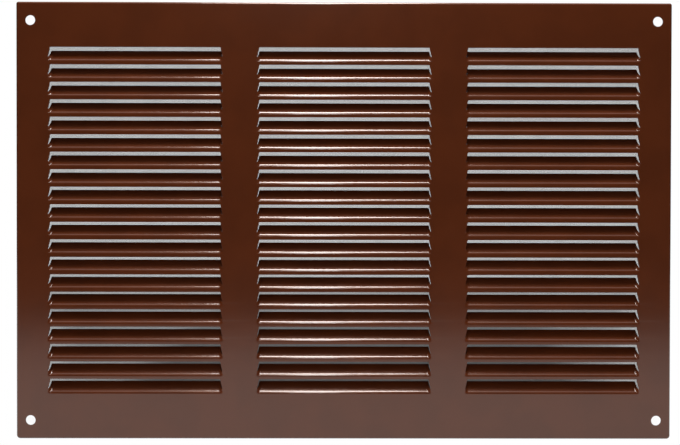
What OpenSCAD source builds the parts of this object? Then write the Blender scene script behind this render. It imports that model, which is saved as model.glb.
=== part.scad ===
// Metal vent grille with three columns of pressed louvres and an insect screen behind them.
// X runs to the right along the wall, Z runs up it and Y runs into it.
// The painted face lies in the plane Y = 0 and the wall is behind it, at Y = rim_depth.

/* [Face plate] */
// Width of the face plate
plate_w = 300; // [200:1:500]
// Height of the face plate
plate_h = 200; // [120:1:400]
// Thickness of the steel sheet
sheet_t = 0.7; // [0.5:0.1:1.2]
// Outer radius of the bend between face and rim
rim_bend_r = 1; // [0.8:0.1:2]
// Corner radius of the upper corners, seen from the front
top_corner_r = 0.6; // [0.2:0.1:3]
// Corner radius of the lower corners, seen from the front
bottom_corner_r = 1.6; // [0.2:0.1:3]
// Width of the open seam where two rims meet at a corner
seam_w = 0.3; // [0.1:0.1:1]
// Distance behind the face at which the corner seams begin
seam_start = 2; // [1.2:0.1:4]

/* [Fixing holes] */
// Diameter of the four fixing holes
hole_d = 4.5; // [3:0.1:6]
// Distance from a side edge to the centre of a hole
hole_inset_x = 6.5; // [5:0.25:12]
// Distance from the upper or lower edge to the centre of a hole
hole_inset_z = 8.5; // [5:0.25:14]

/* [Louvres] */
// Number of louvre columns
columns = 3; // [1:1:5]
// Distance from one louvre to the next in a column
louvre_pitch = 8; // [6:0.5:16]
// Least plain height above and below the louvres
field_margin_z = 20; // [16:0.5:40]
// Plain width left and right of the louvres
field_margin_x = 14; // [12:0.5:40]
// Plain width between two columns
column_gap = 14.8; // [8:0.1:30]
// Height of the flat strip left below each louvre
strip_h = 1.2; // [0.8:0.1:4]
// Outer radius of the bend at the foot of a louvre
louvre_bend_r = 1.8; // [1:0.1:3]
// Angle between the face and a louvre where its bend ends
louvre_angle = 50; // [40:1:60]
// Angle between the face and the tip of a louvre, which curves back a little
tip_angle = 26; // [10:1:35]
// Lean of the two cut ends of a louvre
end_lean = 12.7; // [0:0.1:25]
// Height above the foot of a louvre at which the cut ends stop
cut_stop = 2.3; // [0.5:0.1:3.5]
// Width of the cut beside a louvre
cut_w = 0.15; // [0.1:0.05:0.5]

/* [Insect screen] */
// Thickness of the woven wire screen
screen_t = 0.5; // [0.3:0.1:1]
// Number of openings across the grid that stands for the woven wire
screen_columns = 12; // [4:1:12]
// Number of openings up that grid
screen_rows = 8; // [3:1:12]
// Width of the bars of that grid
screen_bar = 3; // [1:0.5:5]
// Sheet thickness of the strips that bind its edges
binding_t = 0.5; // [0.3:0.1:1]
// Width of the strips that bind its edges
binding_w = 6; // [4:0.5:10]
// Air between the screen and the strip that grips it
grip_clear = 0.1; // [0.05:0.05:0.3]
// Air between the screen and the back of the louvres
louvre_clear = 0.3; // [0.1:0.1:2]
// Air between the side rims and the bound screen
side_clear = 0.3; // [0.1:0.1:1]
// Air between the bound screen and the path of a fixing screw
screw_clear = 1; // [0.5:0.5:4]
// Open seam where two binding strips meet at a corner
mitre_gap = 0.2; // [0.1:0.1:0.6]

/* [Rim lugs] */
// Number of lugs folded over the screen at each side
lugs = 3; // [2:1:6]
// Distance from one lug to the next
lug_pitch = 62; // [30:1:120]
// Width of a lug
lug_w = 10; // [6:0.5:20]
// Reach of a lug inwards from the rim
lug_reach = 5; // [3:0.5:8]
// Air between a lug and the bound screen
lug_clear = 0.3; // [0.1:0.1:1]

/* [Hidden] */
$fn = 48;
join = 0.1;
bend_steps = 7;
blade_steps = 3;

field_w = plate_w - 2 * field_margin_x;
louvre_w = (field_w - (columns - 1) * column_gap) / columns;
column_pitch = louvre_w + column_gap;
rows = floor((plate_h - 2 * field_margin_z) / louvre_pitch);

opening_h = louvre_pitch - strip_h;
bend_length = louvre_bend_r * louvre_angle * PI / 180;
blade_r = (opening_h - bend_length) / ((louvre_angle - tip_angle) * PI / 180);
louvre_tip = blade_point(tip_angle);
louvre_depth = sheet_t * cos(tip_angle) - louvre_tip[1];

binding_h = screen_t + 2 * grip_clear + 2 * binding_t;
binding_z = sheet_t + lug_clear;
screen_z = binding_z + binding_t + grip_clear;
stack_h = screen_z + screen_t + louvre_clear + louvre_depth;
rim_depth = ceil(stack_h * 10) / 10;

hole_x = plate_w / 2 - hole_inset_x;
hole_z = plate_h / 2 - hole_inset_z;
panel_w = plate_w - 2 * (sheet_t + side_clear);
panel_h = 2 * (hole_z - hole_d / 2 - screw_clear);
screen_inset = binding_h / 2;

paint = [0.29, 0.13, 0.08];
wire = [0.55, 0.56, 0.55];
zinc = [0.68, 0.69, 0.7];

// The pieces are drawn lying on their back, with the wall at z = 0 and the face on top.
module against_wall() {
    rotate([90, 0, 0])
        translate([0, 0, -rim_depth])
            children();
}

// Sections are drawn with the height in x and the depth in y, then run along the width.
module along_width(length) {
    rotate([90, 0, 90])
        translate([0, 0, -length / 2])
            linear_extrude(length)
                children();
}

// What is cut away beside a round corner whose tip is at the origin and points up and right.
module corner_waste(r) {
    difference() {
        translate([-r, -r])
            square(2 * r);
        translate([-r, -r])
            circle(r);
    }
}

// A rectangle with its own radius for the upper and for the lower corners.
module outline(w, h, upper_r, lower_r) {
    difference() {
        square([w, h], center = true);
        for (side = [0, 1])
            mirror([side, 0]) {
                if (upper_r > 0)
                    translate([w / 2, h / 2])
                        corner_waste(upper_r);
                if (lower_r > 0)
                    mirror([0, 1])
                        translate([w / 2, h / 2])
                            corner_waste(lower_r);
            }
    }
}

// A block whose edges are rounded round the front, as folded sheet leaves them.
module folded_block(w, h, d, edge_r, upper_r, lower_r) {
    intersection() {
        linear_extrude(d)
            outline(w, h, upper_r, lower_r);
        translate([0, 0, d / 2])
            along_width(w)
                outline(h, d, edge_r, 0);
        translate([0, 0, d / 2])
            rotate([0, 0, 90])
                along_width(h)
                    outline(w, d, edge_r, 0);
    }
}

module face_shell() {
    difference() {
        folded_block(plate_w, plate_h, rim_depth, rim_bend_r, top_corner_r, bottom_corner_r);
        translate([0, 0, -join])
            folded_block(
                plate_w - 2 * sheet_t,
                plate_h - 2 * sheet_t,
                rim_depth - sheet_t + join,
                max(rim_bend_r - sheet_t, 0),
                max(top_corner_r - sheet_t, 0),
                max(bottom_corner_r - sheet_t, 0)
            );
    }
}

module corner_seams() {
    seam_l = 6 * sheet_t;
    for (sx = [-1, 1], sy = [-1, 1])
        translate([sx * plate_w / 2, sy * plate_h / 2, -join])
            rotate([0, 0, sx * sy * 45])
                translate([-seam_l / 2, -seam_w / 2, 0])
                    cube([seam_l, seam_w, rim_depth - seam_start + join]);
}

module fixing_holes() {
    for (sx = [-1, 1], sy = [-1, 1])
        translate([sx * hole_x, sy * hole_z, rim_depth - 2 * sheet_t])
            cylinder(d = hole_d, h = 3 * sheet_t);
}

// Half the width of a louvre's opening at a height above the foot.
function half_w(height) = louvre_w / 2 - height * tan(end_lean);

module opening_outline() {
    foot = half_w(0);
    head = half_w(opening_h);
    polygon([[-foot, 0], [foot, 0], [head, opening_h], [-head, opening_h]]);
}

// A louvre seen from the front. Up to the height where its cuts stop, it runs on behind the plate.
module louvre_outline() {
    joined = half_w(0) + sheet_t + 2 * join;
    free = half_w(cut_stop) - cut_w;
    head = half_w(opening_h) - cut_w;
    polygon([
        [-joined, 0],
        [joined, 0],
        [joined, cut_stop],
        [free, cut_stop],
        [head, opening_h],
        [-head, opening_h],
        [-free, cut_stop],
        [-joined, cut_stop]
    ]);
}

module louvre_opening() {
    translate([0, 0, rim_depth - 2 * sheet_t])
        linear_extrude(3 * sheet_t)
            opening_outline();
}

// Height and depth on the front of a louvre, where it makes the given angle with the face.
function bend_point(turn) = louvre_bend_r * [sin(turn), cos(turn) - 1];

function blade_point(turn) = bend_point(louvre_angle)
    + blade_r * [sin(louvre_angle) - sin(turn), cos(louvre_angle) - cos(turn)];

// The place at a depth below a point on the front of the louvre, by default on its back.
function behind(point, turn, depth = sheet_t) = point - depth * [sin(turn), cos(turn)];

// Section through a louvre, with the face of the plate at zero and the foot at the origin.
module louvre_section() {
    bend_turns = [for (i = [0 : bend_steps]) louvre_angle * i / bend_steps];
    blade_turns = [for (i = [1 : blade_steps]) louvre_angle + (tip_angle - louvre_angle) * i / blade_steps];
    front = [for (turn = bend_turns) bend_point(turn), for (turn = blade_turns) blade_point(turn)];
    turns = concat(bend_turns, blade_turns);
    polygon([
        each front,
        for (i = [len(front) - 1 : -1 : 0]) behind(front[i], turns[i])
    ]);
}

// Section through the wall that closes the end of a louvre up to the height where its cuts stop.
module end_wall_section() {
    turns = [for (i = [0 : bend_steps]) louvre_angle * i / bend_steps];
    middle = [for (turn = turns) behind(bend_point(turn), turn, sheet_t / 2)];
    tip = middle[bend_steps] + opening_h * [cos(louvre_angle), -sin(louvre_angle)];
    intersection() {
        polygon([each middle, tip, [tip[0], -sheet_t / 2]]);
        translate([0, -louvre_depth])
            square([cut_stop - join, louvre_depth]);
    }
}

module louvre() {
    intersection() {
        translate([0, 0, rim_depth])
            along_width(louvre_w + 4 * sheet_t)
                louvre_section();
        translate([0, 0, rim_depth - louvre_depth - join])
            linear_extrude(louvre_depth + 2 * join)
                louvre_outline();
    }
    for (side = [-1, 1])
        translate([side * (half_w(0) + join + sheet_t / 2), 0, rim_depth])
            along_width(sheet_t)
                end_wall_section();
}

// Places one copy of a louvre feature at the foot of each louvre.
module louvre_field() {
    for (column = [0 : columns - 1], row = [0 : rows - 1])
        translate([
            (column - (columns - 1) / 2) * column_pitch,
            (row - rows / 2) * louvre_pitch + strip_h / 2,
            0
        ])
            children();
}

// A lug is the rim carried on past its bend, folded in flat over the bound screen.
module rim_lug() {
    translate([plate_w / 2 - sheet_t - lug_reach, -lug_w / 2, 0])
        cube([lug_reach + sheet_t / 2, lug_w, sheet_t]);
}

module lug_bend_waste() {
    translate([plate_w / 2, 0, 0])
        rotate([90, 0, 0])
            linear_extrude(lug_w, center = true)
                mirror([0, 1])
                    corner_waste(rim_bend_r);
}

module at_lugs() {
    for (side = [0, 1], i = [0 : lugs - 1])
        mirror([side, 0, 0])
            translate([0, (i - (lugs - 1) / 2) * lug_pitch, 0])
                children();
}

module face_plate() {
    color(paint)
        against_wall()
            difference() {
                union() {
                    difference() {
                        face_shell();
                        corner_seams();
                        fixing_holes();
                        louvre_field()
                            louvre_opening();
                    }
                    louvre_field()
                        louvre();
                    at_lugs()
                        rim_lug();
                }
                at_lugs()
                    lug_bend_waste();
            }
}

// The woven wire is a plain grid of flat bars here, about as heavy as the wires together.
module screen_openings() {
    open_w = (panel_w - 2 * binding_w + screen_bar) / screen_columns - screen_bar;
    open_h = (panel_h - 2 * binding_w + screen_bar) / screen_rows - screen_bar;
    for (column = [0 : screen_columns - 1], row = [0 : screen_rows - 1])
        translate([
            (column - (screen_columns - 1) / 2) * (open_w + screen_bar),
            (row - (screen_rows - 1) / 2) * (open_h + screen_bar)
        ])
            square([open_w, open_h], center = true);
}

module insect_screen() {
    color(wire)
        against_wall()
            translate([0, 0, screen_z])
                linear_extrude(screen_t)
                    difference() {
                        square([panel_w - 2 * screen_inset, panel_h - 2 * screen_inset], center = true);
                        screen_openings();
                    }
}

// Section through a strip folded round the edge of the screen, with the fold at the top.
module binding_section() {
    fold_r = binding_h / 2;
    slot_r = fold_r - binding_t;
    difference() {
        union() {
            translate([-fold_r, fold_r])
                circle(fold_r);
            translate([-binding_w, 0])
                square([binding_w - fold_r, binding_h]);
        }
        translate([-fold_r, fold_r])
            circle(slot_r);
        translate([-binding_w - join, binding_t])
            square([binding_w - fold_r + join, 2 * slot_r]);
    }
}

// One strip, drawn along the upper edge of the screen with mitred ends.
module binding(length) {
    outer = (length - mitre_gap) / 2;
    inner = outer - binding_w;
    color(zinc)
        intersection() {
            translate([0, 0, binding_z])
                along_width(length)
                    binding_section();
            translate([0, 0, binding_z - join])
                linear_extrude(binding_h + 2 * join)
                    polygon([[-outer, 0], [outer, 0], [inner, -binding_w], [-inner, -binding_w]]);
        }
}

module binding_top() {
    against_wall()
        translate([0, panel_h / 2, 0])
            binding(panel_w);
}

module binding_bottom() {
    against_wall()
        rotate([0, 0, 180])
            translate([0, panel_h / 2, 0])
                binding(panel_w);
}

module binding_left() {
    against_wall()
        rotate([0, 0, 90])
            translate([0, panel_w / 2, 0])
                binding(panel_h);
}

module binding_right() {
    against_wall()
        rotate([0, 0, -90])
            translate([0, panel_w / 2, 0])
                binding(panel_h);
}

face_plate();
insect_screen();
binding_top();
binding_bottom();
binding_left();
binding_right();
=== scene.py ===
import math

import bmesh
import bpy
from mathutils import Matrix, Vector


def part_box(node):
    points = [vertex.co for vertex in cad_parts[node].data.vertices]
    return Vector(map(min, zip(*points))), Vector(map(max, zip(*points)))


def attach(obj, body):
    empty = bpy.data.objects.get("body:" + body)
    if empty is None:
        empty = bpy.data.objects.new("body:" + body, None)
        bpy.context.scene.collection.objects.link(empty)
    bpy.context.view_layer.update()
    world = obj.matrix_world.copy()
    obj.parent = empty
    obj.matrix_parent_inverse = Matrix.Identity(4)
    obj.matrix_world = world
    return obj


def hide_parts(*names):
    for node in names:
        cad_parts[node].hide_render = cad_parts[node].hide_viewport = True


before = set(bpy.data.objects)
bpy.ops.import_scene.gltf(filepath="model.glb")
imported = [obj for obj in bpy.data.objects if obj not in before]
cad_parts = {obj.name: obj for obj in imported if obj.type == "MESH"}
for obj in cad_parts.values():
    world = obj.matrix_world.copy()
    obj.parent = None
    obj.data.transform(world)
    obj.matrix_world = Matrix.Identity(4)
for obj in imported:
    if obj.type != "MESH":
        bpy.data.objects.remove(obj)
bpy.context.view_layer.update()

mm = 0.001
degree = math.pi / 180
closeEnough = 0.01 * mm      # places that differ by less count as the same
weldDistance = 0.005 * mm

plateLow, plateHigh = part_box("face_plate")
plateWidth = plateHigh[0] - plateLow[0]
plateHeight = plateHigh[2] - plateLow[2]
rimDepth = plateHigh[1] - plateLow[1]
screenLow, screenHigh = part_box("insect_screen")


# selecting and shaping


def only(piece):
    bpy.ops.object.select_all(action="DESELECT")
    piece.select_set(True)
    bpy.context.view_layer.objects.active = piece


def pick(piece, kind, wanted):
    # selects the vertices, edges or faces whose corners all lie where they are wanted
    bpy.ops.mesh.select_mode(type=kind)
    bpy.ops.mesh.select_all(action="DESELECT")
    mesh = bmesh.from_edit_mesh(piece.data)
    parts = {"VERT": mesh.verts, "EDGE": mesh.edges, "FACE": mesh.faces}[kind]
    for part in parts:
        corners = [part] if kind == "VERT" else part.verts
        if all(wanted(corner.co) for corner in corners):
            part.select_set(True)
    mesh.select_flush_mode()
    bmesh.update_edit_mesh(piece.data)


def pickVerts(piece, wanted):
    pick(piece, "VERT", wanted)


def pickEdges(piece, wanted):
    pick(piece, "EDGE", wanted)


def pickFaces(piece, wanted):
    pick(piece, "FACE", wanted)


def near(place, target):
    return abs(place - target) < closeEnough


def extrude(dx, dy, dz):
    bpy.ops.mesh.extrude_region_move(TRANSFORM_OT_translate={"value": (dx, dy, dz)})


def slide(dx, dy, dz):
    bpy.ops.transform.translate(value=(dx, dy, dz))


def cutAcross(place, direction):
    bpy.ops.mesh.select_all(action="SELECT")
    bpy.ops.mesh.bisect(plane_co=place, plane_no=direction)


def apply(piece, kind, settings):
    only(piece)
    modifier = piece.modifiers.new(kind.title(), kind)
    for name, value in settings.items():
        setattr(modifier, name, value)
    bpy.ops.object.modifier_apply(modifier=modifier.name)


def repeat(piece, count, step):
    apply(piece, "ARRAY", {
        "count": count,
        "use_relative_offset": False,
        "use_constant_offset": True,
        "constant_offset_displace": step,
        "use_merge_vertices": True,
        "merge_threshold": closeEnough,
    })


def joinPieces(first, others):
    only(first)
    for piece in others:
        piece.select_set(True)
    bpy.ops.object.join()


def settle(piece):
    only(piece)
    bpy.ops.object.transform_apply(location=True, rotation=True, scale=True)


# finishes

patchEdges = (0.35, 0.65)    # noise levels between which one patch turns into the next


class Value:
    # one number or colour inside a finish; numbers can be used in sums
    def __init__(self, finish, socket):
        self.finish = finish
        self.socket = socket

    def maths(self, operation, first, second):
        return self.finish.add("ShaderNodeMath", {"operation": operation}, {0: first, 1: second})

    def __add__(self, other):
        return self.maths("ADD", self, other)

    def __radd__(self, other):
        return self.maths("ADD", other, self)

    def __sub__(self, other):
        return self.maths("SUBTRACT", self, other)

    def __rsub__(self, other):
        return self.maths("SUBTRACT", other, self)

    def __mul__(self, other):
        return self.maths("MULTIPLY", self, other)

    def __rmul__(self, other):
        return self.maths("MULTIPLY", other, self)

    def __truediv__(self, other):
        return self.maths("DIVIDE", self, other)

    def __rtruediv__(self, other):
        return self.maths("DIVIDE", other, self)


class Finish:
    def __init__(self, name, owner=None):
        self.owner = owner or bpy.data.materials.new(name)
        self.owner.use_nodes = True
        self.tree = self.owner.node_tree
        self.tree.nodes.clear()

    def add(self, kind, settings=None, sockets=None, output=0):
        # one node, with its settings first and then the values or links of its sockets
        node = self.tree.nodes.new(kind)
        for name, setting in (settings or {}).items():
            setattr(node, name, setting)
        for name, given in (sockets or {}).items():
            if isinstance(given, Value):
                self.tree.links.new(given.socket, node.inputs[name])
            else:
                node.inputs[name].default_value = given
        return Value(self, node.outputs[output]) if node.outputs else node

    def place(self, stretch=(1, 1, 1)):
        coordinates = self.add("ShaderNodeTexCoord", output="Object")
        return self.add("ShaderNodeMapping", {}, {"Vector": coordinates, "Scale": stretch})

    def noise(self, size, detail=2, stretch=(1, 1, 1)):
        # size is about the width of one patch, in metres
        return self.add("ShaderNodeTexNoise", {}, {
            "Vector": self.place(stretch), "Scale": 1 / size, "Detail": detail,
        })

    def ramp(self, value, low, high):
        # 0 at low and 1 at high, which may be the smaller of the two
        return self.add("ShaderNodeMapRange", {"interpolation_type": "SMOOTHSTEP"}, {
            "Value": value, "From Min": low, "From Max": high,
        })

    def blend(self, share, first, second):
        # the numbered sockets are the colour ones among the node's like-named sockets
        sockets = {0: share, 6: first, 7: second}
        return self.add("ShaderNodeMix", {"data_type": "RGBA"}, sockets, output=2)

    def larger(self, first, second):
        return self.add("ShaderNodeMath", {"operation": "MAXIMUM"}, {0: first, 1: second})

    def absolute(self, value):
        return self.add("ShaderNodeMath", {"operation": "ABSOLUTE"}, {0: value})

    def bump(self, height, distance, under=None):
        sockets = {"Height": height, "Distance": distance}
        if under:
            sockets["Normal"] = under
        return self.add("ShaderNodeBump", {}, sockets)

    def surface(self, sockets):
        shader = self.add("ShaderNodeBsdfPrincipled", {}, sockets)
        self.add("ShaderNodeOutputMaterial", {}, {"Surface": shader})
        return self.owner


def dress(piece, finish):
    piece.data.materials.clear()
    piece.data.materials.append(finish)


# face plate

facePlate = {
    "louvreWidth": 80.8 * mm,
    "columnGap": 14.8 * mm,
    "columns": 3,
    "rows": 20,
    "pitch": 8 * mm,
    "strip": 1.2 * mm,
    "bendRadius": 1.8 * mm,
    "bendSteps": 8,
    "joinedSteps": 9,          # steps of the bend and blade that stay joined to the plate at both ends
    "looseDepth": 0.8,         # share of its depth that the next step keeps there
    "bladeAngle": 50 * degree,
    "tipAngle": 26 * degree,   # the blade curves back a little towards its tip
    "bladeSteps": 4,
    "endLean": 12.7 * degree,
    "endBlend": 1.8 * mm,      # length over which the bend sinks below the face
    "endLines": (0, 0.25, 0.5, 0.75, 1),
    "slitWidth": 0.15 * mm,
    "sheet": 0.7 * mm,
    "edgeRadius": 1 * mm,
    "edgeSteps": 5,
    "lowerCorner": 1.6 * mm,
    "lowerCornerSteps": 6,
    "foldedFrom": 60 * degree,  # an edge at the face that turns more than this is a fold
    "lugs": 3,                 # on each side
    "lugPitch": 62 * mm,
    "lugWidth": 10 * mm,
    "lugReach": 5 * mm,
    "lugBend": 1 * mm,
    "lugBendSteps": 5,
    "holeDiameter": 4.5 * mm,
    "holeSides": 40,
    "holeSpanX": 287 * mm,
    "holeSpanZ": 183 * mm,
    "seamStart": 2 * mm,
    "seamWidth": 0.3 * mm,
    "cutEdge": 0.07 * mm,      # rounding that the paint gives every cut edge
    "cutEdgeSteps": 2,
    "cutEdgeFrom": 50 * degree,  # an edge that turns more than this is a cut one
    "smoothBelow": 35 * degree,  # faces that meet at less than this are shaded as one
}


def louvreLines(p):
    # distances from a louvre's middle at which its strip is cut, from the outermost inwards
    half = p["louvreWidth"] / 2
    head = (p["pitch"] - p["strip"]) * math.tan(p["endLean"])
    insets = [p["endBlend"] * share for share in p["endLines"]]
    return [half - inset for inset in sorted(insets + [head])]


def stripPlane(p):
    # the flat strip below a louvre and beside it, cut at the louvre's lines
    cellWidth = p["louvreWidth"] + p["columnGap"]
    bpy.ops.object.select_all(action="DESELECT")
    bpy.ops.mesh.primitive_plane_add(size=1, rotation=(90 * degree, 0, 0))
    strip = bpy.context.object
    strip.scale = (cellWidth, p["strip"], 1)
    strip.location = (0, 0, p["strip"] / 2)
    settle(strip)
    bpy.ops.object.mode_set(mode="EDIT")
    for x in louvreLines(p):
        cutAcross((x, 0, 0), (1, 0, 0))
        cutAcross((-x, 0, 0), (1, 0, 0))
    bpy.ops.object.mode_set(mode="OBJECT")
    return strip


def bladeRadius(p):
    # of the blade's curve, from its length and the angles at its ends
    length = p["pitch"] - p["strip"] - p["bendRadius"] * p["bladeAngle"]
    return length / (p["bladeAngle"] - p["tipAngle"])


def louvrePlace(p, step):
    # depth and height on the front of a louvre, first along its bend and then along its blade
    turn = p["bladeAngle"] * min(step / p["bendSteps"], 1)
    depth = p["bendRadius"] * (1 - math.cos(turn))
    height = p["strip"] + p["bendRadius"] * math.sin(turn)
    if step > p["bendSteps"]:
        start = turn
        turn += (p["tipAngle"] - start) * (step - p["bendSteps"]) / p["bladeSteps"]
        depth += bladeRadius(p) * (math.cos(turn) - math.cos(start))
        height += bladeRadius(p) * (math.sin(start) - math.sin(turn))
    return depth, height


def bendLouvre(cell, p):
    half = p["louvreWidth"] / 2
    pickEdges(cell, lambda co: near(co.z, p["strip"]) and abs(co.x) < half + closeEnough)
    bpy.ops.mesh.spin(
        steps=p["bendSteps"],
        angle=p["bladeAngle"],
        center=(0, p["bendRadius"], p["strip"]),
        axis=(1, 0, 0),
    )
    depth, height = louvrePlace(p, p["bendSteps"])
    radius = bladeRadius(p)
    middleY = depth - radius * math.cos(p["bladeAngle"])
    middleZ = height + radius * math.sin(p["bladeAngle"])
    pickEdges(cell, lambda co: near(co.y, depth) and near(co.z, height))
    bpy.ops.mesh.spin(
        steps=p["bladeSteps"],
        angle=p["tipAngle"] - p["bladeAngle"],
        center=(0, middleY, middleZ),
        axis=(1, 0, 0),
    )


def sinkEnds(cell, p):
    # the joined part starts level with the face at each end and gets its depth in a smooth curve
    lines = louvreLines(p)
    half = lines[0]
    top = louvrePlace(p, p["joinedSteps"])[1] + closeEnough
    beyond = louvrePlace(p, p["joinedSteps"] + 1)[1] + closeEnough
    for x in lines:
        way = min((half - x) / p["endBlend"], 1)
        share = way * way * (3 - 2 * way)
        looseShare = p["looseDepth"] + (1 - p["looseDepth"]) * share
        pickVerts(cell, lambda co: near(abs(co.x), x) and co.z < top)
        bpy.ops.transform.resize(value=(1, share, 1), center_override=(0, 0, 0))
        pickVerts(cell, lambda co: near(abs(co.x), x) and top < co.z < beyond)
        bpy.ops.transform.resize(value=(1, looseShare, 1), center_override=(0, 0, 0))


def leanEnds(cell, p):
    inner = louvreLines(p)[-1] - closeEnough
    lean = math.tan(p["endLean"])
    for step in range(1, p["bendSteps"] + p["bladeSteps"] + 1):
        z = louvrePlace(p, step)[1]
        slit = p["slitWidth"] if step > p["joinedSteps"] else 0
        for side in (-1, 1):
            pickVerts(cell, lambda co: near(co.z, z) and side * co.x > inner)
            slide(-side * ((z - p["strip"]) * lean + slit), 0, 0)


def addWeb(cell, p):
    # the plain plate beside a louvre, first along its joined part
    half = p["louvreWidth"] / 2
    lean = math.tan(p["endLean"])
    lines = louvreLines(p)
    z = p["strip"]
    pickEdges(cell, lambda co: near(co.z, p["strip"]) and abs(co.x) > half - closeEnough)
    for step in range(1, p["joinedSteps"] + 1):
        higher = louvrePlace(p, step)[1]
        extrude(0, 0, higher - z)
        z = higher
    for step in range(1, p["joinedSteps"] + 1):
        height = louvrePlace(p, step)[1]
        for side in (-1, 1):
            pickVerts(cell, lambda co: near(co.z, height) and near(side * co.x, half))
            slide(-side * (height - p["strip"]) * lean, 0, 0)
    # then up to the next strip, whose cut lines it meets
    joined = half - (z - p["strip"]) * lean
    border = half + p["columnGap"] / 2
    for side in (-1, 1):
        def onWeb(co):
            return near(co.z, z) and (near(side * co.x, joined) or near(side * co.x, border))

        pickEdges(cell, onWeb)
        extrude(0, 0, p["pitch"] - z)
        pickVerts(cell, lambda co: near(co.z, p["pitch"]) and near(side * co.x, joined))
        head = half - (p["pitch"] - p["strip"]) * lean
        slide(side * (head - joined), 0, 0)
        pickEdges(cell, lambda co: near(co.z, p["pitch"]) and side * co.x > 0)
        targets = sorted(x for x in lines if x > head + closeEnough)
        bpy.ops.mesh.subdivide(number_cuts=len(targets), ngon=True)
        for number, x in enumerate(targets, 1):
            spaced = head + (border - head) * number / (len(targets) + 1)
            pickVerts(cell, lambda co: near(co.z, p["pitch"]) and near(side * co.x, spaced))
            slide(side * (x - spaced), 0, 0)
    bpy.ops.mesh.select_all(action="SELECT")
    bpy.ops.mesh.remove_doubles(threshold=weldDistance)


def louvreCell(p):
    cell = stripPlane(p)
    only(cell)
    bpy.ops.object.mode_set(mode="EDIT")
    bendLouvre(cell, p)
    sinkEnds(cell, p)
    leanEnds(cell, p)
    addWeb(cell, p)
    bpy.ops.object.mode_set(mode="OBJECT")
    return cell


def louvreField(p):
    cell = louvreCell(p)
    cellWidth = p["louvreWidth"] + p["columnGap"]
    repeat(cell, p["rows"], (0, 0, p["pitch"]))
    cap = stripPlane(p)
    cap.location = (0, 0, p["rows"] * p["pitch"])
    settle(cap)
    joinPieces(cell, [cap])
    bpy.ops.object.mode_set(mode="EDIT")
    bpy.ops.mesh.select_all(action="SELECT")
    bpy.ops.mesh.remove_doubles(threshold=weldDistance)
    bpy.ops.object.mode_set(mode="OBJECT")
    repeat(cell, p["columns"], (cellWidth, 0, 0))
    lowest = -(p["rows"] * p["pitch"] + p["strip"]) / 2
    cell.location = (-(p["columns"] - 1) / 2 * cellWidth, plateLow[1], lowest)
    settle(cell)
    return cell


def addMargins(plate, p):
    fieldX = p["columns"] * (p["louvreWidth"] + p["columnGap"]) / 2
    upper = (p["rows"] * p["pitch"] + p["strip"]) / 2
    lower = -upper
    for side in (-1, 1):
        pickEdges(plate, lambda co: near(co.x, side * fieldX))
        extrude(side * (plateWidth / 2 - fieldX), 0, 0)
    pickEdges(plate, lambda co: near(co.z, lower))
    extrude(0, 0, -plateHeight / 2 - lower)
    pickEdges(plate, lambda co: near(co.z, upper))
    extrude(0, 0, plateHeight / 2 - upper)


def atRimCorner(co, side):
    return near(abs(co.x), plateWidth / 2) and near(co.z, side * plateHeight / 2)


def foldRim(plate, p):
    def onBorder(co):
        return near(abs(co.x), plateWidth / 2) or near(abs(co.z), plateHeight / 2)

    pickEdges(plate, onBorder)
    extrude(0, rimDepth - p["lugBend"], 0)
    extrude(0, p["lugBend"], 0)


def foldLugs(plate, p):
    # at each lug the rim carries on round its bend instead of ending at the wall
    bendStart = rimDepth - p["lugBend"]
    for number in range(p["lugs"]):
        middle = (number - (p["lugs"] - 1) / 2) * p["lugPitch"]
        for z in (middle - p["lugWidth"] / 2, middle + p["lugWidth"] / 2):
            pickFaces(plate, lambda co: near(abs(co.x), plateWidth / 2))
            bpy.ops.mesh.bisect(plane_co=(0, 0, z), plane_no=(0, 0, 1))

        def alongLug(co):
            return abs(co.z - middle) < p["lugWidth"] / 2 + closeEnough

        def onRimEdge(co):
            return near(abs(co.x), plateWidth / 2) and co.y > bendStart - closeEnough

        pickFaces(plate, lambda co: alongLug(co) and onRimEdge(co))
        bpy.ops.mesh.delete(type="FACE")
        for side in (-1, 1):
            outer = side * plateWidth / 2
            inner = side * (plateWidth / 2 - p["lugBend"])
            pickEdges(plate, lambda co: alongLug(co) and near(co.x, outer) and near(co.y, bendStart))
            bpy.ops.mesh.spin(
                steps=p["lugBendSteps"],
                angle=-side * 90 * degree,
                center=(inner, bendStart, middle),
                axis=(0, 0, 1),
            )
            pickEdges(plate, lambda co: alongLug(co) and near(co.x, inner) and near(co.y, rimDepth))
            extrude(-side * (p["sheet"] + p["lugReach"] - p["lugBend"]), 0, 0)


def roundFolds(plate, p):
    # the lower corners first, then the upper ones together with the fold all round the face
    pickEdges(plate, lambda co: atRimCorner(co, -1))
    bpy.ops.mesh.bevel(offset=p["lowerCorner"], segments=p["lowerCornerSteps"], affect="EDGES")
    bpy.ops.mesh.select_mode(type="EDGE")
    bpy.ops.mesh.select_all(action="DESELECT")
    mesh = bmesh.from_edit_mesh(plate.data)
    for edge in mesh.edges:
        ends = [vert.co for vert in edge.verts]
        folded = len(edge.link_faces) == 2 and edge.calc_face_angle(0) > p["foldedFrom"]
        atFace = all(near(co.y, plateLow[1]) for co in ends)
        if folded and atFace or all(atRimCorner(co, 1) for co in ends):
            edge.select_set(True)
    bmesh.update_edit_mesh(plate.data)
    bpy.ops.mesh.bevel(offset=p["edgeRadius"], segments=p["edgeSteps"], affect="EDGES")


def fixingHoleCutter(p):
    bpy.ops.object.select_all(action="DESELECT")
    bpy.ops.mesh.primitive_cylinder_add(
        vertices=p["holeSides"],
        radius=p["holeDiameter"] / 2,
        depth=4 * p["sheet"],
        rotation=(90 * degree, 0, 0),
        location=(p["holeSpanX"] / 2, plateLow[1], p["holeSpanZ"] / 2),
    )
    return bpy.context.object


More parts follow.
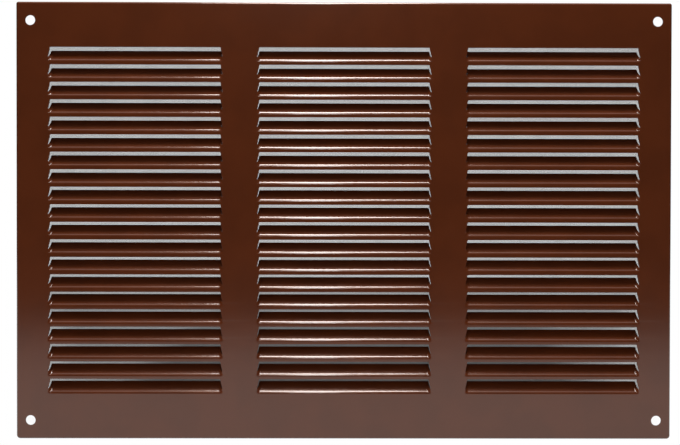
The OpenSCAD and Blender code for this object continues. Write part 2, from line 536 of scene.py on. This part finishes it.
def cornerSeamCutter(p):
    # a thin blade across the corner, which opens the seam between two rims
    start = plateLow[1] + p["seamStart"]
    length = 2 * rimDepth
    bpy.ops.object.select_all(action="DESELECT")
    bpy.ops.mesh.primitive_cube_add(
        size=1,
        rotation=(0, 45 * degree, 0),
        location=(plateWidth / 2, start + length / 2, plateHeight / 2),
    )
    seam = bpy.context.object
    seam.scale = (p["seamWidth"], length, 6 * p["sheet"])
    return seam


def cutAtCorners(plate, cutter):
    settle(cutter)
    apply(cutter, "MIRROR", {"use_axis": [True, False, True]})
    only(cutter)
    bpy.ops.object.mode_set(mode="EDIT")
    bpy.ops.mesh.select_all(action="SELECT")
    bpy.ops.mesh.normals_make_consistent(inside=False)
    bpy.ops.object.mode_set(mode="OBJECT")
    apply(plate, "BOOLEAN", {"object": cutter, "operation": "DIFFERENCE", "solver": "EXACT"})
    bpy.data.objects.remove(cutter)


def smoothFinish(piece, angle):
    only(piece)
    bpy.ops.object.shade_smooth_by_angle(angle=angle)
    apply(piece, "WEIGHTED_NORMAL", {"keep_sharp": True})


def buildPlate(p):
    plate = louvreField(p)
    plate.name = "louvred_plate"
    only(plate)
    bpy.ops.object.mode_set(mode="EDIT")
    addMargins(plate, p)
    foldRim(plate, p)
    foldLugs(plate, p)
    roundFolds(plate, p)
    bpy.ops.mesh.select_all(action="SELECT")
    bpy.ops.mesh.remove_doubles(threshold=weldDistance)
    bpy.ops.mesh.normals_make_consistent(inside=False)
    bpy.ops.object.mode_set(mode="OBJECT")
    apply(plate, "SOLIDIFY", {"thickness": p["sheet"], "offset": -1, "use_even_offset": True})
    cutAtCorners(plate, fixingHoleCutter(p))
    apply(plate, "BEVEL", {
        "width": p["cutEdge"],
        "segments": p["cutEdgeSteps"],
        "limit_method": "ANGLE",
        "angle_limit": p["cutEdgeFrom"],
        "use_clamp_overlap": False,
    })
    cutAtCorners(plate, cornerSeamCutter(p))
    smoothFinish(plate, p["smoothBelow"])
    return plate


print("face plate")
plate = buildPlate(facePlate)
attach(plate, "root")
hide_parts("face_plate")

brownEnamel = {
    "colour": (0.116, 0.0242, 0.0058, 1),
    "darker": (0.102, 0.0212, 0.0051, 1),
    "mottle": 22 * mm,             # size of its lighter and darker patches
    "worn": (0.17, 0.07, 0.04, 1),
    "wornEdges": (0.56, 0.75),     # from the least to the most pointed edges that wear
    "wornPatch": 3 * mm,
    "wornPatchEdges": (0.45, 0.7),
    "wornMost": 0.5,
    "gloss": (1, 0.78, 0.66, 1),   # tint of what the paint under the clear coat reflects
    "roughness": 0.17,
    "roughnessPatch": 9 * mm,
    "rougherInPatches": 0.05,
    "rougherWhereWorn": 0.3,
    "index": 1.5,                  # refractive index of the paint and of its clear coat
    "coat": 0.7,
    "coatRoughness": 0.08,
    "orangePeel": 1.6 * mm,
    "peelHeight": 0.004 * mm,
    "grain": 0.35 * mm,
    "grainHeight": 0.0008 * mm,
}


def enamelFinish(p):
    f = Finish("brown_enamel")
    mottle = f.ramp(f.noise(p["mottle"], 3), *patchEdges)
    colour = f.blend(mottle, p["colour"], p["darker"])
    edge = f.add("ShaderNodeNewGeometry", output="Pointiness")
    patchy = f.ramp(f.noise(p["wornPatch"], 3), *p["wornPatchEdges"])
    worn = f.ramp(edge, *p["wornEdges"]) * patchy * p["wornMost"]
    colour = f.blend(worn, colour, p["worn"])
    patches = f.noise(p["roughnessPatch"], 3)
    roughness = p["roughness"] + p["rougherInPatches"] * patches + worn * p["rougherWhereWorn"]
    peel = f.bump(f.noise(p["orangePeel"], 1), p["peelHeight"])
    normal = f.bump(f.noise(p["grain"]), p["grainHeight"], peel)
    return f.surface({
        "Base Color": colour,
        "Roughness": roughness,
        "IOR": p["index"],
        "Specular Tint": p["gloss"],
        "Coat Weight": p["coat"],
        "Coat Roughness": p["coatRoughness"],
        "Coat IOR": p["index"],
        "Normal": normal,
    })


dress(plate, enamelFinish(brownEnamel))


# insect screen

insectScreen = {
    "pitch": 0.45 * mm,
    "wire": 0.17 * mm,
    "sides": 6,
    "smoothBelow": 70 * degree,
}


def wireLayer(p, length, span, upright, depth):
    # wires of this length side by side over the span, at this depth behind the face
    count = int(span / p["pitch"])
    first = -(count - 1) / 2 * p["pitch"]
    bpy.ops.object.select_all(action="DESELECT")
    bpy.ops.mesh.primitive_cylinder_add(
        vertices=p["sides"],
        radius=p["wire"] / 2,
        depth=length,
        rotation=(0, 0 if upright else 90 * degree, 0),
        location=(first if upright else 0, depth, 0 if upright else first),
    )
    wire = bpy.context.object
    settle(wire)
    repeat(wire, count, (p["pitch"] if upright else 0, 0, 0 if upright else p["pitch"]))
    return wire


def buildScreen(p):
    width = screenHigh[0] - screenLow[0]
    height = screenHigh[2] - screenLow[2]
    middle = (screenLow[1] + screenHigh[1]) / 2
    front = wireLayer(p, height, width, True, middle - p["wire"] / 2)
    back = wireLayer(p, width, height, False, middle + p["wire"] / 2)
    joinPieces(front, [back])
    front.name = "wire_screen"
    smoothFinish(front, p["smoothBelow"])
    return front


print("insect screen")
screen = buildScreen(insectScreen)
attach(screen, "root")
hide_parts("insect_screen")

dullWire = {
    "colour": (0.26, 0.235, 0.21, 1),
    "darker": (0.19, 0.17, 0.15, 1),
    "patch": 14 * mm,
    "metallic": 0.85,
    "roughness": 0.42,
    "roughnessPatch": 4 * mm,
    "rougherInPatches": 0.12,
    "grain": 0.3 * mm,
    "grainHeight": 0.004 * mm,
}


def wireFinish(p):
    f = Finish("dull_wire")
    tint = f.ramp(f.noise(p["patch"], 3), *patchEdges)
    return f.surface({
        "Base Color": f.blend(tint, p["colour"], p["darker"]),
        "Metallic": p["metallic"],
        "Roughness": p["roughness"] + p["rougherInPatches"] * f.noise(p["roughnessPatch"]),
        "Normal": f.bump(f.noise(p["grain"]), p["grainHeight"]),
    })


dress(screen, wireFinish(dullWire))


# binding strips

zincStrip = {
    "sides": ("top", "bottom", "left", "right"),
    "colour": (0.5, 0.51, 0.52, 1),
    "lighter": (0.62, 0.63, 0.64, 1),
    "flake": 5 * mm,
    "flakeTones": (0.2, 0.8),
    "metallic": 0.95,
    "roughness": 0.28,
    "rougherInFlakes": 0.16,
    "rougherInLines": 0.06,
    "rolledLine": 1.2 * mm,
    "rolledStretch": (0.05, 1, 1),   # the lines of rolling run along X
    "rolledHeight": 0.003 * mm,
}


def zincFinish(p):
    f = Finish("zinc_strip")
    flakes = f.add("ShaderNodeTexVoronoi", {"feature": "F1"}, {
        "Vector": f.place(), "Scale": 1 / p["flake"], "Randomness": 1,
    }, output="Color")
    flake = f.add("ShaderNodeRGBToBW", {}, {"Color": flakes})
    rolled = f.noise(p["rolledLine"], 3, p["rolledStretch"])
    return f.surface({
        "Base Color": f.blend(f.ramp(flake, *p["flakeTones"]), p["colour"], p["lighter"]),
        "Metallic": p["metallic"],
        "Roughness": p["roughness"] + p["rougherInFlakes"] * flake + p["rougherInLines"] * rolled,
        "Normal": f.bump(rolled, p["rolledHeight"]),
    })


print("binding strips")
zinc = zincFinish(zincStrip)
for side in zincStrip["sides"]:
    dress(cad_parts["binding_" + side], zinc)


# stage, light and camera

studio = {
    "floorWidth": 3,
    "floorFront": -0.72,
    "floorBack": 2,
    "floorColour": (0.55, 0.55, 0.55, 1),
    # painted shadow: this dark floor colour is mixed in behind the plate, where the lamps cast no such
    # shadow
    "paintedShadowColour": (0.15, 0.15, 0.15, 1),
    # the grey part is the floor's own diffuse under the lamps, and its soft edge into the white is a
    # painted penumbra round the painted shadow
    "greySide": 0.13,              # half the width of the floor's plain grey part, at the plate
    "greySpread": 0.22,            # how fast it widens behind the plate
    "greySoft": 0.14,              # its edge fades over this share of its width
    "greyStart": (0.05, 0.01),     # full from the first distance behind the plate, none at the second
    "greyEnd": (0.17, 1.5),        # distances behind the plate between which it fades out
    "paintedShadowSide": 0.13,            # half the width of the painted shadow inside it
    "paintedShadowSpread": 0.05,
    "paintedShadowDrift": 0.05,           # the painted shadow leans away from the lamps, to the right
    "paintedShadowSoft": 0.02,
    "paintedFrontFalloff": (-0.7, -0.05),    # painted shade and reflection: in front of the plate the floor gets darker towards the room
    "roomLight": 0.035,
    "skyLight": 0.8,
    "skyEdge": (0.65, 0.92),       # how steeply up a direction points where the ceiling starts
    "backdropEdge": (0.85, 0.99),  # how straight back a mirrored ray goes to see the backdrop
}

# together the two lamps stand for one upright strip of light

upperLamp = {
    "shape": "ELLIPSE",
    "width": 0.22,
    "height": 0.4,
    "distance": 0.65,
    "elevation": 80 * degree,
    "x": -0.02,
    "power": 4.8,
}

lowerLamp = {
    "shape": "RECTANGLE",
    "width": 0.07,
    "height": 1,
    "distance": 1.2,
    "elevation": 42.4 * degree,
    "x": -0.032,
    "power": 2.7,
}


def buildFloor(p):
    middle = (p["floorFront"] + p["floorBack"]) / 2
    bpy.ops.object.select_all(action="DESELECT")
    bpy.ops.mesh.primitive_plane_add(size=1, location=(0, middle, plateLow[2]))
    floor = bpy.context.object
    floor.scale = (p["floorWidth"], p["floorBack"] - p["floorFront"], 1)
    settle(floor)
    floor.name = "floor"
    return floor


def seenAsBackground(f):
    # the rays that bring the background to the camera, straight on, in a mirror or through glass
    path = "ShaderNodeLightPath"
    direct = f.larger(f.add(path, output="Is Camera Ray"), f.add(path, output="Is Transmission Ray"))
    return direct, f.add(path, output="Is Glossy Ray")


def floorFinish(p):
    # behind the plate the floor is grey, with a painted shadow of the plate in it, and round that it
    # is plain white
    f = Finish("floor_with_painted_shadow")
    sideways = f.add("ShaderNodeSeparateXYZ", {}, {"Vector": f.place()}, output="X")
    behind = f.add("ShaderNodeSeparateXYZ", {}, {"Vector": f.place()}, output="Y")
    across = f.absolute(sideways) / (p["greySide"] + p["greySpread"] * behind)
    beside = f.ramp(across, 1 - p["greySoft"], 1 + p["greySoft"])
    plain = f.larger(beside, f.ramp(behind, *p["greyEnd"]))
    plain = f.larger(plain, f.ramp(behind, *p["greyStart"]))
    # painted shadow of the plate: a mask that turns the floor to the dark shadow colour
    edge = f.absolute(sideways - p["paintedShadowDrift"] * behind) - p["paintedShadowSpread"] * behind
    outsidePaintedShadow = f.ramp(edge, p["paintedShadowSide"] - p["paintedShadowSoft"], p["paintedShadowSide"] + p["paintedShadowSoft"])
    outsidePaintedShadow = f.larger(outsidePaintedShadow, plain)
    # painted shade and reflection: further in front of the plate the floor turns to the dark shadow
    # colour, and what mirrors see of it fades from white, as if the lamps' light fell off
    paintedFalloff = f.ramp(behind, *p["paintedFrontFalloff"])
    direct, mirrored = seenAsBackground(f)
    background = plain * f.larger(direct, mirrored * paintedFalloff)
    # the dark diffuse of the painted shadow
    paintedShadow = f.add("ShaderNodeBsdfDiffuse", {}, {"Color": p["paintedShadowColour"]})
    paper = f.add("ShaderNodeBsdfDiffuse", {}, {"Color": p["floorColour"]})
    white = f.add("ShaderNodeEmission", {}, {"Color": (1, 1, 1, 1), "Strength": 1})
    floor = f.add("ShaderNodeMixShader", {}, {0: outsidePaintedShadow * paintedFalloff, 1: paintedShadow, 2: paper})
    mixed = f.add("ShaderNodeMixShader", {}, {0: background, 1: floor, 2: white})
    f.add("ShaderNodeOutputMaterial", {}, {"Surface": mixed})
    return f.owner


def lightRoom(p):
    # a dim room with a pale ceiling, and a white backdrop behind the plate
    world = bpy.data.worlds.new("studio")
    bpy.context.scene.world = world
    f = Finish("studio", world)
    direction = f.add("ShaderNodeTexCoord", output="Generated")
    height = f.add("ShaderNodeSeparateXYZ", {}, {"Vector": direction}, output="Z")
    depth = f.add("ShaderNodeSeparateXYZ", {}, {"Vector": direction}, output="Y")
    direct, mirrored = seenAsBackground(f)
    white = f.larger(direct, mirrored * f.ramp(depth, *p["backdropEdge"]))
    room, sky, backdrop = [
        f.add("ShaderNodeBackground", {}, {"Color": (1, 1, 1, 1), "Strength": strength})
        for strength in (p["roomLight"], p["skyLight"], 1)
    ]
    overhead = f.ramp(height, *p["skyEdge"])
    light = f.add("ShaderNodeMixShader", {}, {0: overhead, 1: room, 2: sky})
    mixed = f.add("ShaderNodeMixShader", {}, {0: white, 1: light, 2: backdrop})
    f.add("ShaderNodeOutputWorld", {}, {"Surface": mixed})


def hangLamp(p):
    back = p["distance"] * math.cos(p["elevation"])
    height = p["distance"] * math.sin(p["elevation"])
    bpy.ops.object.light_add(
        type="AREA",
        location=(p["x"], -back, height),
        rotation=(90 * degree - p["elevation"], 0, 0),
    )
    lamp = bpy.context.object
    lamp.data.shape = p["shape"]
    lamp.data.size = p["width"]
    lamp.data.size_y = p["height"]
    lamp.data.energy = p["power"]
    lamp.visible_camera = False


photoCamera = {
    "place": (-0.005, -0.575, 0.0067),
    "down": 0.735 * degree,
    "aside": 0.31 * degree,
    "roll": 0.11 * degree,
    "seenWidth": 311.4 * mm,   # what the picture takes in across the face of the plate
}


def setCamera(p):
    bpy.ops.object.camera_add(location=p["place"])
    camera = bpy.context.object
    turned = Matrix.Rotation(-p["aside"], 3, "Z") @ Matrix.Rotation(90 * degree - p["down"], 3, "X")
    camera.rotation_euler = (turned @ Matrix.Rotation(p["roll"], 3, "Z")).to_euler()
    camera.data.lens = camera.data.sensor_width * -p["place"][1] / p["seenWidth"]
    camera.data.clip_start = 10 * mm
    bpy.context.scene.camera = camera


print("stage, light and camera")
dress(buildFloor(studio), floorFinish(studio))
lightRoom(studio)
hangLamp(upperLamp)
hangLamp(lowerLamp)
setCamera(photoCamera)
bpy.context.scene.view_settings.view_transform = "Standard"
